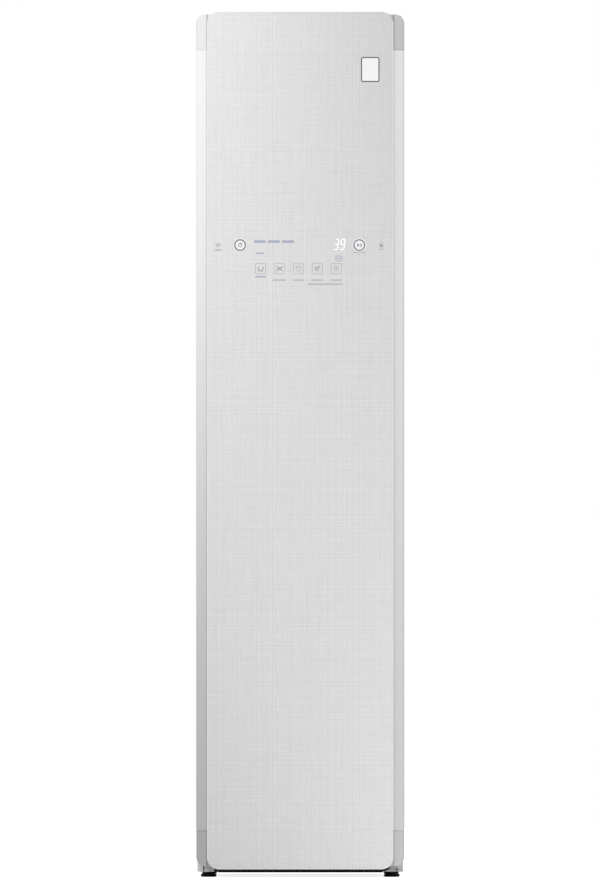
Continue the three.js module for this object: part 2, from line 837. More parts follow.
// Motor and its plate over the ceiling
function motorPlate() {
  const legs = [-1, 1].map((side) =>
    block(
      span(side * (motor.plateHalf - motor.plate / 2), motor.plate),
      span(railLine.y, 2 * motor.gearbox),
      [chamberTop + chamber.wall + seat, motorPlateTop],
    ),
  );
  const plate = block(mirrored(motor.plateHalf), span(railLine.y, 2 * motor.gearbox), [
    motorPlateTop - motor.plate,
    motorPlateTop,
  ]);
  const hole = rod("z", [0, railLine.y], shaft.hole, [motorPlateTop - overrun, motorPlateTop + overrun]);
  return cut(join(plate, ...legs), hole);
}

add(cabinet, "motor_plate", motorPlate(), materials.zincSteel);
add(
  cabinet,
  "hanger_motor",
  join(
    rod("z", [0, railLine.y], motor.gearbox, [motorPlateTop + seat, motorPlateTop + motor.gearboxHeight]),
    rod("z", [0, railLine.y], motor.radius, [
      motorPlateTop + motor.gearboxHeight / 2,
      motorPlateTop + motor.height,
    ]),
  ),
  materials.blackSteel,
);

// Lamp lens under the ceiling, close behind the door
const lamp = { half: 55, frontRoom: 23.2, depth: 18, drop: 7 };
const lampFront = linerFront + lamp.frontRoom;
add(
  cabinet,
  "chamber_lamp",
  prism(
    "x",
    rounded([
      [lampFront, chamberTop - seat],
      [lampFront, chamberTop - seat - lamp.drop, lamp.drop / 2],
      [lampFront + lamp.depth, chamberTop - seat - lamp.drop, lamp.drop / 2],
      [lampFront + lamp.depth, chamberTop - seat],
    ]),
    mirrored(lamp.half),
  ),
  materials.lens,
);

// Tank bay: an open-fronted box behind the lower mouth, with a divider between the tanks
const bay = { wall: 2.5, machineDepth: 296.5, divider: 3 };
const bayRear = rearFace - bay.machineDepth;

function tankBay() {
  const z = [tankMouth.bottom, tankMouth.top];
  const shell = cut(
    block(mirrored(mouthHalf + bay.wall), [linerFront, bayRear + bay.wall], inside(z, -bay.wall)),
    prism("y", mouth(tankMouth), [linerFront - overrun, bayRear]),
  );
  return join(shell, block(span(0, bay.divider), [linerFront + overrun, bayRear + seat], inside(z, -seat)));
}

add(cabinet, "tank_bay", tankBay(), materials.innerGrey);

// Water tanks: thin moulded shells with a finger pocket at the front, a lid and a filler cap
const tank = {
  gap: 1.2,
  sideGap: 3,
  wall: 2.5,
  frontRoom: 29.2,
  rearGap: 4,
  corner: 8,
  topRoom: 16,
  lid: 5,
  lidPlug: 7,
  cap: 16,
  capHeight: 4,
  capInset: 46,
};
const grip = { half: 42, height: 34, depth: 20, drop: 14, corner: 8 };
const tankBottom = tankMouth.bottom + seat;
const tankRim = tankMouth.top - tank.topRoom;
const tankY = [linerFront + tank.frontRoom, bayRear - tank.rearGap];

function waterTank(side) {
  const ends = [bay.divider / 2 + tank.gap, mouthHalf - tank.sideGap];
  const x = ends.map((end) => side * end).sort((a, b) => a - b);
  const y = tankY;
  const middle = (x[0] + x[1]) / 2;
  const shellOuter = prism("z", rectangle(x, y, tank.corner), [tankBottom, tankRim]);
  const shellInner = prism(
    "z",
    rectangle(inside(x, tank.wall), inside(y, tank.wall), tank.corner - tank.wall),
    [tankBottom + tank.wall, tankRim + overrun],
  );
  const gripZ = [tankRim - grip.drop - grip.height, tankRim - grip.drop];
  const pocketOutline = (grow) =>
    rectangle(span(middle, 2 * (grip.half + grow)), inside(gripZ, -grow), grip.corner + grow);
  const pocketWall = prism("y", pocketOutline(tank.wall), [
    y[0] + tank.wall / 2,
    y[0] + grip.depth + tank.wall,
  ]);
  const pocket = prism("y", pocketOutline(0), [y[0] - overrun, y[0] + grip.depth]);
  const shell = cut(join(cut(shellOuter, shellInner), pocketWall), pocket);

  const plugX = inside(x, tank.wall + seat);
  const plugY = inside(y, tank.wall + seat);
  const plugCorner = tank.corner - tank.wall - seat;
  const lidTop = tankRim + tank.lid;
  const plate = prism("z", rectangle(x, y, tank.corner), [tankRim + seat, lidTop]);
  const plug = cut(
    prism("z", rectangle(plugX, plugY, plugCorner), [tankRim - tank.lidPlug, tankRim + tank.lid / 2]),
    prism(
      "z",
      rectangle(inside(plugX, tank.wall), inside(plugY, tank.wall), plugCorner - tank.wall),
      [tankRim - tank.lidPlug - overrun, tankRim + seat],
    ),
  );
  const capAt = [middle, y[1] - tank.capInset];
  const cap = rod("z", capAt, tank.cap, [tankRim + seat, lidTop + tank.capHeight]);
  const thumbTurn = block(span(capAt[0], tank.cap), span(capAt[1], tank.lid), [
    lidTop,
    lidTop + tank.capHeight + tank.lid / 2,
  ]);
  return { shell, lid: join(plate, plug, cap, thumbTurn) };
}

for (const [use, side] of [
  ["supply", -1],
  ["drain", 1],
]) {
  const { shell, lid } = waterTank(side);
  add(cabinet, `${use}_tank`, shell, materials.smokedTank);
  add(cabinet, `${use}_tank_lid`, lid, materials.capGrey);
}

// Air path: from the filter's well over the tank bay, down through both heat exchangers, then by the
// blower up to the grille
const duct = { wall: 2, underFloor: 52, throat: 38, bottom: 202 };
const ductTop = chamberFloor - chamber.wall - seat;
const ductFront = linerFront + seat;
const ductRear = bayRear + bay.wall + 2 * seat + duct.throat;

function intakeDuct() {
  const line = (grow) => {
    const past = grow ? 0 : overrun;
    const front = ductFront + duct.wall - grow;
    const shelfZ = ductTop - duct.underFloor + duct.wall - grow;
    const throatFront = ductRear - duct.throat + duct.wall - grow;
    const rear = ductRear - duct.wall + grow;
    const roof = ductTop - duct.wall + grow;
    return [
      [front, ductTop + past],
      [front, shelfZ],
      [throatFront, shelfZ],
      [throatFront, duct.bottom - past],
      [rear, duct.bottom - past],
      [rear, roof],
      [wellY[1] + duct.wall, roof],
      [wellY[1] + duct.wall, ductTop + past],
    ];
  };
  const ductX = inside(wellX, -duct.wall);
  return cut(prism("x", line(duct.wall), ductX), prism("x", line(0), inside(ductX, duct.wall)));
}

add(cabinet, "intake_duct", intakeDuct(), materials.innerGrey);

// Places in the machine room: the boiler at the left wall, the exchangers from it to the right wall
const boiler = {
  width: 108,
  depth: 100,
  sideRoom: 6.7,
  frontRoom: 16,
  height: 96,
  corner: 12,
  outlet: 8,
  outletHeight: 14,
};
const boilerX = [boiler.sideRoom - trayHalf, boiler.sideRoom + boiler.width - trayHalf];
const boilerY = [bayRear + boiler.frontRoom, bayRear + boiler.frontRoom + boiler.depth];
const exchanger = {
  depth: 40,
  bottom: 20,
  top: 190,
  frontGap: 3,
  leftGap: 8,
  rightRoom: 50.7,
  gap: 4,
  fins: 12,
  header: 6,
  bends: 2,
  bendSteps: 5,
  tube: 4,
};
const exchangerX = [boilerX[1] + exchanger.leftGap, trayHalf - exchanger.rightRoom];
const evaporatorFront = ductRear - duct.throat + exchanger.frontGap;
const condenserFront = evaporatorFront + exchanger.depth + exchanger.gap;

// A heat exchanger: a block of upright fins with return bends of its tube at the right end
function heatExchanger(front) {
  const y = [front, front + exchanger.depth];
  const z = [exchanger.bottom, exchanger.top];
  const gaps = slotRow(
    exchanger.fins,
    inside(exchangerX, exchanger.header),
    slotShares.fins,
    inside(z, exchanger.header),
  );
  const core = prism("y", rectangle(exchangerX, z), y, gaps);
  const pitch = (z[1] - z[0]) / (2 * exchanger.bends);
  const at = (y[0] + y[1]) / 2;
  const x = exchangerX[1] - exchanger.tube;
  const out = exchangerX[1] + pitch / 2;
  const bends = evenly(exchanger.bends, z[0], z[1] - pitch).map((low) =>
    bar(
      [
        [x, at, low],
        [(x + out) / 2, at, low],
        [out, at, low + pitch / 2],
        [(x + out) / 2, at, low + pitch],
        [x, at, low + pitch],
      ],
      exchanger.tube,
      exchanger.bendSteps,
    ),
  );
  return join(core, ...bends);
}

add(cabinet, "evaporator", heatExchanger(evaporatorFront), materials.aluminium);
add(cabinet, "condenser", heatExchanger(condenserFront), materials.aluminium);

// Tray that both exchangers stand in; it catches the water that drips off the cold one
const dripTray = { wall: 2.5, rise: 14, margin: 1 };

function dripTraySolid() {
  const hollowX = inside(exchangerX, -dripTray.margin);
  const hollowY = inside([evaporatorFront, condenserFront + exchanger.depth], -dripTray.margin);
  const bottom = trayFloor + seat;
  const top = bottom + dripTray.rise;
  return cut(
    block(inside(hollowX, -dripTray.wall), inside(hollowY, -dripTray.wall), [bottom, top]),
    block(hollowX, hollowY, [exchanger.bottom - seat, top + overrun]),
  );
}

add(cabinet, "drip_tray", dripTraySolid(), materials.innerGrey);

// Control box: a closed case with cooling ribs, in the rear right corner
const control = {
  width: 60,
  depth: 106,
  height: 210,
  sideRoom: 6.7,
  rearRoom: 48.5,
  ribs: 6,
  rib: 3,
  ribHeight: 4,
  corner: 4,
};
const controlX = [trayHalf - control.sideRoom - control.width, trayHalf - control.sideRoom];
const controlY = [rearFace - control.rearRoom - control.depth, rearFace - control.rearRoom];
const controlTop = trayFloor + control.height;
add(
  cabinet,
  "control_box",
  join(
    prism("z", rectangle(controlX, controlY, control.corner), [trayFloor + seat, controlTop]),
    ...evenly(control.ribs, ...inside(controlY, control.corner)).map((y) =>
      block(span(controlX[0], 2 * control.ribHeight), span(y, control.rib), [
        trayFloor + control.height / 2,
        controlTop - control.corner,
      ]),
    ),
  ),
  materials.darkPlastic,
);

// Blower: a drum of forward-curved blades in a scroll that opens upwards
const blower = {
  controlGap: 12,
  rearRoom: 86.5,
  z: 150,
  width: 58,
  wall: 2.5,
  cutoff: 52,
  sweep: 78,
  scrollSteps: 18,
  outletTop: 268,
  inlet: 34,
  shaftHole: 7,
};
const wheel = {
  radius: 45,
  bore: 35,
  blades: 12,
  blade: 1.6,
  backplate: 3,
  ring: 3,
  sideGap: 4,
  hub: 9,
  shaft: 4,
};
const blowerX = [controlX[0] - blower.controlGap - blower.width, controlX[0] - blower.controlGap];
const blowerAt = [rearFace - blower.rearRoom, blower.z];
const cutoffTurn = (2 * Math.PI) / 3;
const scrollSweep = cutoffTurn + Math.PI;
const scrollInner = blowerAt[0] + blower.cutoff * Math.cos(cutoffTurn);

function scrollOutline(grow, outletTop) {
  const spiral = Array.from({ length: blower.scrollSteps + 1 }, (_, k) => {
    const share = k / blower.scrollSteps;
    const angle = cutoffTurn - scrollSweep * share;
    const radius = blower.cutoff + (blower.sweep - blower.cutoff) * share + grow;
    return [blowerAt[0] + radius * Math.cos(angle), blower.z + radius * Math.sin(angle)];
  });
  spiral[0] = [scrollInner + grow, spiral[0][1]];
  return [...spiral, [blowerAt[0] - blower.sweep - grow, outletTop], [scrollInner + grow, outletTop]];
}

function blowerHousing() {
  const innerX = inside(blowerX, blower.wall);
  const throughX = inside(blowerX, -overrun);
  const outer = prism("x", scrollOutline(blower.wall, blower.outletTop), blowerX);
  const inner = prism("x", scrollOutline(0, blower.outletTop + overrun), innerX);
  const inlet = rod("x", blowerAt, blower.inlet, span(blowerX[1], 2 * overrun));
  const shaftHole = rod("x", blowerAt, blower.shaftHole, span(blowerX[0], 2 * overrun));
  const standY = span(blowerAt[0], blower.sweep);
  const stand = cut(
    block(blowerX, standY, [trayFloor + seat, blower.z]),
    prism("x", scrollOutline(blower.wall / 2, blower.outletTop), throughX),
    block(innerX, inside(standY, -overrun), [trayFloor, blower.z + overrun]),
  );
  return join(cut(outer, inner, inlet, shaftHole), stand);
}

add(cabinet, "blower_housing", blowerHousing(), materials.innerGrey);

const wheelGroup = new THREE.Group();
wheelGroup.position.set(blowerX[0] + blower.wall, ...blowerAt);
cabinet.add(wheelGroup);
const fanMotor = { radius: 30, length: 46, boss: 12, bossLength: 6 };

function blowerWheel() {
  const length = blower.width - 2 * blower.wall - 2 * wheel.sideGap;
  const x = [wheel.sideGap, wheel.sideGap + length];
  const backplate = rod("x", [0, 0], wheel.radius, [x[0], x[0] + wheel.backplate]);
  const ring = prism("x", circle([0, 0], wheel.radius), [x[1] - wheel.ring, x[1]], [
    circle([0, 0], wheel.bore),
  ]);
  const middle = (wheel.radius + wheel.bore) / 2;
  const depth = (wheel.radius - wheel.bore) / 2;
  const blades = Array.from({ length: wheel.blades }, (_, k) => {
    const at = (wholeTurn * k) / wheel.blades;
    const lean = 2 * wheel.blade;
    const path = [
      [middle - depth, lean],
      [middle, 0],
      [middle + depth, lean],
    ].map(([r, s]) => [
      r * Math.cos(at) - s * Math.sin(at),
      r * Math.sin(at) + s * Math.cos(at),
    ]);
    return prism("x", wallAlong(path, wheel.blade), [x[0] + wheel.backplate / 2, x[1] - wheel.ring / 2]);
  });
  const hub = rod("x", [0, 0], wheel.hub, [x[0], x[0] + length / 2]);
  const spindle = rod("x", [0, 0], wheel.shaft, [-blower.wall - 2 * seat, x[0] + wheel.backplate]);
  return join(backplate, ring, hub, spindle, ...blades);
}

add(wheelGroup, "blower_wheel", blowerWheel(), materials.darkPlastic);
add(
  cabinet,
  "blower_motor",
  join(
    rod("x", blowerAt, fanMotor.radius, [
      blowerX[0] - fanMotor.length,
      blowerX[0] - fanMotor.bossLength,
    ]),
    rod("x", blowerAt, fanMotor.boss, [blowerX[0] - fanMotor.length / 2, blowerX[0] - 3 * seat]),
  ),
  materials.blackSteel,
);

// Duct that spreads the blower's outlet to the width of the grille
function outletDuct() {
  const low = blower.outletTop + seat;
  const high = chamberFloor - grille.plug - seat;
  const lowY = [blowerAt[0] - blower.sweep - blower.wall, scrollInner + blower.wall];
  const ring = (margin, z, x, y) =>
    rectangle(inside(x, margin), inside(y, margin)).map(([u, v]) => [u, v, z]);
  const outer = [ring(0, low, blowerX, lowY), ring(0, high, grilleX, grilleY)];
  const inner = [
    ring(duct.wall, low - seat, blowerX, lowY),
    ring(duct.wall, high + seat, grilleX, grilleY),
  ];
  return cut(skin(outer, false), skin(inner, false));
}

add(cabinet, "outlet_duct", outletDuct(), materials.innerGrey);

// Compressor: a welded can on a plate with four rubber feet, and its suction bottle beside it
const compressor = {
  sideRoom: 36,
  rearRoom: 84.5,
  radius: 54,
  waist: 50,
  crown: 16,
  height: 168,
  bottle: 20,
  bottleReach: 68,
  bottleHeight: 58,
  bottleLift: 44,
  plate: 4,
  plateHalf: 57,
  pad: 9,
  padRadius: 9,
  corner: 11,
};

function compressorSolid() {
  const at = [compressor.sideRoom + compressor.plateHalf - trayHalf, rearFace - compressor.rearRoom];
  const bottom = trayFloor + seat;
  const top = bottom + compressor.height;
  const plateZ = [bottom + compressor.pad, bottom + compressor.pad + compressor.plate];
  const can = turned(
    [
      [0, plateZ[0]],
      [compressor.waist, plateZ[0]],
      [compressor.radius, plateZ[0] + compressor.crown],
      [compressor.radius, top - compressor.crown],
      [compressor.waist - compressor.crown, top],
      [0, top],
    ],
    at,
  );
  const plateX = span(at[0], 2 * compressor.plateHalf);
  const plateY = span(at[1], 2 * compressor.plateHalf);
  const plate = prism("z", rectangle(plateX, plateY, compressor.corner), plateZ);
  const pads = inside(plateX, compressor.corner).flatMap((x) =>
    inside(plateY, compressor.corner).map((y) =>
      rod("z", [x, y], compressor.padRadius, [bottom, plateZ[0] + compressor.plate / 2]),
    ),
  );
  const bottleZ = [
    bottom + compressor.bottleLift,
    bottom + compressor.bottleLift + compressor.bottleHeight,
  ];
  const bottle = turned(
    [
      [0, bottleZ[0]],
      [compressor.bottle / 2, bottleZ[0]],
      [compressor.bottle, bottleZ[0] + compressor.bottle / 2],
      [compressor.bottle, bottleZ[1] - compressor.bottle / 2],
      [compressor.bottle / 2, bottleZ[1]],
      [0, bottleZ[1]],
    ],
    [at[0] + compressor.bottleReach, at[1] - compressor.radius / 3],
  );
  return join(can, plate, bottle, ...pads);
}

add(cabinet, "compressor", compressorSolid(), materials.blackSteel);

// Steam generator: a closed boiler with a steam outlet, and the hose that carries steam to the nozzle
const boilerTop = trayFloor + seat + boiler.height;
const boilerOutlet = [(boilerX[0] + boilerX[1]) / 2, (boilerY[0] + boilerY[1]) / 2];
add(
  cabinet,
  "steam_generator",
  join(
    prism("z", rectangle(boilerX, boilerY, boiler.corner), [trayFloor + seat, boilerTop]),
    rod("z", boilerOutlet, boiler.outlet, [boilerTop - boiler.outlet, boilerTop + boiler.outletHeight]),
    prism(
      "z",
      rectangle(inside(boilerX, -boiler.outlet / 4), inside(boilerY, -boiler.outlet / 4), boiler.corner),
      span(boilerTop - boiler.height / 2, boiler.outlet),
    ),
  ),
  materials.castAlloy,
);

const hose = { radius: 7, rise: 190, bend: 30, back: 34, steps: 26 };

function steamHose() {
  const [x, y] = boilerOutlet;
  const [nozzleX, nozzleZ] = nozzleAt;
  const start = boilerTop + boiler.outletHeight + seat;
  const end = chamberRear + chamber.wall + nozzle.reach + seat;
  const back = end + hose.back;
  const path = [
    [x, y, start],
    [x, y, start + hose.bend],
    [x, y + hose.bend, start + hose.rise - 2 * hose.bend],
    [x, back - hose.bend, start + hose.rise - hose.bend / 2],
    [(x + nozzleX) / 2, back + hose.radius, nozzleZ - 2 * hose.bend],
    [nozzleX, back, nozzleZ - hose.bend / 3],
    [nozzleX, end + hose.radius, nozzleZ],
    [nozzleX, end, nozzleZ],
  ];
  return bar(path, hose.radius, hose.steps);
}

add(cabinet, "steam_hose", steamHose(), materials.hose);

// Pumps behind the boiler: one feeds it, the other empties the drip tray
const pump = { radius: 14, height: 62, base: 18, baseHeight: 8, spout: 4, spoutLength: 12, gap: 1 };

function pumpSolid() {
  return join(
    rod("z", [0, 0], pump.radius, [pump.baseHeight / 2, pump.height]),
    rod("z", [0, 0], pump.base, [0, pump.baseHeight]),
    rod("z", [0, 0], pump.spout, [pump.height - seat, pump.height + pump.spoutLength]),
  );
}

const pumpY = boilerY[1] + pump.base + pump.gap;
add(cabinet, "supply_pump", pumpSolid(), materials.darkPlastic, [
  boilerX[0] + pump.base,
  pumpY,
  trayFloor + seat,
]);
add(cabinet, "drain_pump", pumpSolid(), materials.darkPlastic, [boilerX[1], pumpY, trayFloor + seat]);

// Back sheet: pressed stiffening panels, louvres at the machine room and the hole for the mains gland
const backSheet = {
  margin: 1,
  bottom: 20,
  louvres: 5,
  louvreWidth: 70,
  louvreHeight: 8,
  louvreBottom: 96,
  louvreTop: 236,
  louvreReach: 92,
  louvreShift: 37,
  emboss: 0.7,
  embossRoom: 52.5,
  embossCount: 3,
  embossGap: 70,
  embossCorner: 12,
};
const gland = { sideRoom: 42.5, z: 120, radius: 9, flange: 13, flangeThickness: 3, lip: 4, bore: 4 };
const glandAt = [cabinetHalf - gland.sideRoom, gland.z];

function backPanel() {
  const louvres = mirrored(backSheet.louvreReach).flatMap((x) =>
    evenly(backSheet.louvres, backSheet.louvreBottom, backSheet.louvreTop).map((z) =>
      rectangle(span(x - backSheet.louvreShift, backSheet.louvreWidth), span(z, backSheet.louvreHeight)),
    ),
  );
  const outline = rectangle(
    mirrored(cabinetHalf - backSheet.margin),
    [backSheet.bottom, sideTop],
    casing.topCorner,
  );
  const sheet = prism("y", outline, [backSheetFront, rearFace], [
    ...louvres,
    circle(glandAt, gland.radius + seat),
  ]);
  const pitch = (sideTop - backSheet.embossGap - chamberFloor) / backSheet.embossCount;
  const panels = evenly(backSheet.embossCount, chamberFloor, sideTop - backSheet.embossGap).map((z) =>
    prism(
      "y",
      rectangle(
        mirrored(cabinetHalf - backSheet.embossRoom),
        span(z, pitch - backSheet.embossGap),
        backSheet.embossCorner,
      ),
      [rearFace - backSheet.emboss, rearFace + overrun],
    ),
  );
  return cut(sheet, ...panels);
}

add(cabinet, "back_panel", backPanel(), materials.zincSteel);
add(
  cabinet,
  "mains_gland",
  cut(
    join(
      rod("y", glandAt, gland.radius, [backSheetFront - gland.lip, rearFace - seat]),
      rod("y", glandAt, gland.flange, [backSheetFront - seat - gland.flangeThickness, backSheetFront - seat]),
    ),
    rod("y", glandAt, gland.bore, [backSheetFront - 2 * overrun, rearFace + overrun]),
  ),
  materials.rubber,
);

// Hinges: a steel plate under the top cover and an angle at the base, each with a pin into the door's end
// cap
const capTop = cabinetTop - 2 * seat;
const capBottom = 24;
const lowerHingeTop = capBottom - hinge.clearance;
add(
  cabinet,
  "upper_hinge",
  join(
    prism("z", hingePlateOutline(cabinetFront + hinge.onCabinet), upperPlateZ),
    rod("z", hingeAt, hinge.pin, [upperPlateZ[0] - hinge.pinLength, upperPlateZ[1] - hinge.plate / 2]),
  ),
  materials.steel,
);
const lowerLegRear = trayFront - seat;
add(
  cabinet,
  "lower_hinge",
  join(
    prism("z", hingePlateOutline(cabinetFront - seat), [lowerHingeTop - hinge.plate, lowerHingeTop]),
    rod("z", hingeAt, hinge.pin, [lowerHingeTop - hinge.plate / 2, capBottom + hinge.pinLength]),
    block(
      [hingeX[0], casingInside - casing.frontFlange - 2 * seat],
      [lowerLegRear - hinge.plate, lowerLegRear],
      [floorClearance + seat, floorClearance + hinge.legHeight],
    ),
  ),
  materials.steel,
);

// Door: a patterned glass front on a frame of two side trims and two end caps, foam inside and a moulded
// liner behind
const panel = { sideRoom: 23.5, thickness: 5, bottom: 17.3, corner: 25, edge: 0.8 };
const trim = {
  slopeDepth: 8,
  edgeRadius: 7,
  lipRadius: 3.2,
  wall: 2.5,
  lap: 7.5,
  capLength: 76,
};
const pull = { depth: 13, width: 22, lip: 12, corner: 5 };
const linerSheet = 3;
const panelRear = frontFace + panel.thickness;
const trimFront = panelRear + seat;
const trimRear = doorRear - linerSheet - seat;
const panelHalf = doorHalf - panel.sideRoom;
const trimInner = panelHalf - trim.lap;

// A chamfered edge: the front panel is a shallow loft over a straight plate
function frontPanel() {
  const outline = (inset) =>
    rectangle(
      mirrored(panelHalf - inset),
      [panel.bottom + inset, overall.height - inset],
      panel.corner - inset,
      loftFacets,
    );
  const ring = (inset, y) => outline(inset).map(([x, z]) => [x, y, z]);
  return skin(
    [ring(panel.edge, frontFace), ring(0, frontFace + panel.edge), ring(0, panelRear)],
    false,
  );
}

add(door, "door_panel", frontPanel(), materials.linenGlass);

// The outer path of a side trim in plan: under the panel's edge, out along the slope, round the corner and
// back
function trimPath(side, grooved) {
  const x = (value) => side * value;
  const slopeY = trimFront + trim.slopeDepth;
  const pullY = [slopeY + pull.lip, slopeY + pull.lip + pull.width];
  const groove = grooved
    ? [
        [x(doorHalf), pullY[0], trim.lipRadius],
        [x(doorHalf - pull.depth), pullY[0] + pull.corner, pull.corner],
        [x(doorHalf - pull.depth), pullY[1], pull.corner],
        [x(doorHalf), pullY[1], trim.lipRadius],
      ]
    : [];
  return rounded(
    [
      [x(trimInner), trimFront],
      [x(panelHalf), trimFront, trim.edgeRadius],
      [x(doorHalf), slopeY, trim.edgeRadius],
      ...groove,
      [x(doorHalf), trimRear, trim.lipRadius],
      [x(trimInner), trimRear],
    ],
    false,
  );
}

const trimZ = [capBottom + trim.capLength + seat, capTop - trim.capLength - seat];

function sideTrim(side, grooved) {
  return prism("z", wallAlong(trimPath(side, grooved), side * trim.wall), trimZ);
}

add(door, "left_door_trim", sideTrim(-1, true), materials.doorTrim);
add(door, "right_door_trim", sideTrim(1, false), materials.doorTrim);

// End caps: the trims' section across the whole door, rounded at the outer corners and hollow towards the
// foam. The top cap has a recess where the upper hinge's plate lies and the door swings round it.
const cap = { corner: 20, wall: 3, roof: 9, boss: 12, bossLength: 34 };

function endCap(z, top) {
  const outer = top ? z[1] : z[0];
  const inward = top ? -1 : 1;
  const stretch = (from, to) => [outer + inward * from, outer + inward * to].sort((a, b) => a - b);
  const right = trimPath(1, false);
  const left = right.map(([x, y]) => [-x, y]).reverse();
  const face = rounded([
    [-doorHalf, z[0], top ? 0 : cap.corner],
    [doorHalf, z[0], top ? 0 : cap.corner],
    [doorHalf, z[1], top ? cap.corner : 0],
    [-doorHalf, z[1], top ? cap.corner : 0],
  ]);
  const body = prism("z", [...right, ...left], z).intersect(prism("y", face, [frontFace, doorRear]));
  const hollow = block(
    mirrored(trimInner),
    [trimFront + cap.wall, trimRear - cap.wall],
    stretch(cap.roof, trim.capLength + overrun),
  );
  const boss = rod("z", hingeAt, cap.boss, stretch(0, cap.bossLength));
  const bore = rod("z", hingeAt, hinge.pin + seat, stretch(-overrun, cap.bossLength - cap.wall));
  const recess = rod("z", hingeAt, hinge.sweep, [upperPlateZ[0] - hinge.clearance, capTop + overrun]);
  const shell = cut(join(cut(body, hollow), boss), bore);
  return top ? cut(shell, recess) : shell;
}

add(door, "door_top_cap", endCap([capTop - trim.capLength, capTop], true), materials.capGrey);
add(door, "door_bottom_cap", endCap([capBottom, capBottom + trim.capLength], false), materials.capGrey);

// Touch display on its board, in a pocket of the foam right behind the glass
const display = {
  sideRoom: 79.5,
  height: 94,
  board: 2,
  frame: 9,
  wall: 3,
  chip: 12,
  chips: 5,
  chipHeight: 4,
};
const displayShare = 0.72; // the display's middle, as a share of the door's height
const displayX = mirrored(panelHalf - display.sideRoom);
const displayZ = span(displayShare * overall.height, display.height);
const displayY = [panelRear + seat, panelRear + seat + display.frame];

function touchDisplay() {
  const outline = rectangle(displayX, displayZ, display.wall);
  const well = rectangle(inside(displayX, display.wall), inside(displayZ, display.wall));
  const boardFront = displayY[1] - display.board;
  const rim = prism("y", outline, [displayY[0], boardFront + seat], [well]);
  const board = prism("y", outline, [boardFront, displayY[1]]);
  const chipZ = span((displayZ[0] + displayZ[1]) / 2, display.chip);
  const chips = evenly(display.chips, ...displayX).map((x) =>
    block(span(x, display.chip), [boardFront - display.chipHeight, displayY[1] - seat], chipZ),
  );
  return join(rim, board, ...chips);
}

add(door, "touch_display", touchDisplay(), materials.board);

// Door liner: a thin moulding whose raised middle enters the chamber's mouth and carries the trouser press
const liner = {
  sideRoom: 6.5,
  margin: 7,
  corner: 16,
  plinthSide: 18,
  plinthFoot: 34,
  plinthHead: 33,
  plinthRise: 22,
  draft: 7,
  plinthCorner: 20,
};
const plinthFace = doorRear + liner.plinthRise;
const plinthHalf = mouthHalf - liner.plinthSide;
const plinthZ = [chamberMouth.bottom + liner.plinthFoot, chamberMouth.top - liner.plinthHead];

function doorLiner() {
  const flange = prism(
    "y",
    rectangle(
      mirrored(doorHalf - liner.sideRoom),
      [capBottom + liner.margin, capTop - liner.margin],
      liner.corner,
    ),
    [doorRear - linerSheet, doorRear],
  );
  const ring = (inset, y) =>
    rectangle(mirrored(plinthHalf - inset), inside(plinthZ, inset), liner.plinthCorner).map(([x, z]) => [
      x,
      y,
      z,
    ]);
  const plinth = skin([ring(0, doorRear - linerSheet / 2), ring(liner.draft, plinthFace)], false);
  const hollow = skin(
    [
      ring(linerSheet, doorRear - linerSheet - overrun),
      ring(linerSheet, doorRear - linerSheet / 2),
      ring(linerSheet + liner.draft, plinthFace - linerSheet),
    ],
    false,
  );
  return cut(join(flange, plinth), hollow);
}

add(door, "door_liner", doorLiner(), materials.liner);

// Foam that fills the door: the space between the trims, the hollows of both end caps and the liner's
// raised middle
function doorFoam() {
  const foamX = mirrored(trimInner - seat);
  const capFoamY = [trimFront + cap.wall + seat, trimRear - cap.wall - seat];
  const plinthInset = linerSheet + liner.draft + seat;
  return cut(
    join(
      block(foamX, [trimFront, trimRear], trimZ),
      block(foamX, capFoamY, [capBottom + cap.roof + seat, capTop - cap.roof - seat]),
      prism(
        "y",
        rectangle(mirrored(plinthHalf - plinthInset), inside(plinthZ, plinthInset), liner.plinthCorner),
        [trimRear - cap.wall, plinthFace - linerSheet - seat],
      ),
    ),
    block(inside(displayX, -seat), [trimFront - overrun, displayY[1] + seat], inside(displayZ, -seat)),
  );
}

add(door, "door_foam", doorFoam(), materials.foam);

// Magnetic seal: a bellows section swept round the liner's flange
const gasket = { sideRoom: 2.3, footRoom: 4.7, headRoom: 6.7, width: 16, corner: 18, facets: 3, lip: 3 };

function doorGasket() {
  const closed = cabinetFront - seat;
  const root = doorRear + seat;
  const middle = (root + closed) / 2;
  const section = [
    [-gasket.width, root],
    [0, root],
    [0, root + gasket.lip],
    [-gasket.lip, middle],
    [0, closed - gasket.lip],
    [0, closed],
    [-gasket.width, closed],
    [-gasket.width + gasket.lip, middle],
  ];
  const z = [frameBottom + gasket.footRoom, sideTop - gasket.headRoom];
  const rings = section.map(([out, y]) =>
    rectangle(
      mirrored(frameHalf - gasket.sideRoom + out),
      inside(z, -out),
      gasket.corner + out,
      gasket.facets,
    ).map(([u, v]) => [u, y, v]),
  );
  return skin(rings, true);
}

add(door, "door_gasket", doorGasket(), materials.seal);

// Trouser press on the door: a fixed plate with hinge lugs and a perforated panel that swings on pins.
// Over it, on the same moulding, a bracket holds the jaw of the trouser clamp.
const clamp = {
  sideRoom: 10,
  headRoom: 60,
  height: 82,
  plate: 6,
  lug: 6,
  lugReach: 22,
  jaw: 5,
  jawDrop: 50,
  jawEdge: 2,
  tab: 16,
  tabHalf: 34,
  pin: 2.6,
  lip: 6,
  corner: 8,
};
const press = {
  sideRoom: 28,
  headRoom: 52,
  footRoom: 404,
  plate: 8,
  panel: 14,
  panelEdge: 3,
  gap: 0.7,
  corner: 14,
  lugEdge: 1,
  side: 2,
  pin: 3,
  pinLength: 10,
  lug: 16,
  lugGap: 1,
  rows: 6,
  columns: 2,
  slotHeight: 8,
  slotMargin: 34,
  catchHeight: 46,
  catchDepth: 5,
  tab: 14,
};
const pressHalf = plinthHalf - press.sideRoom;
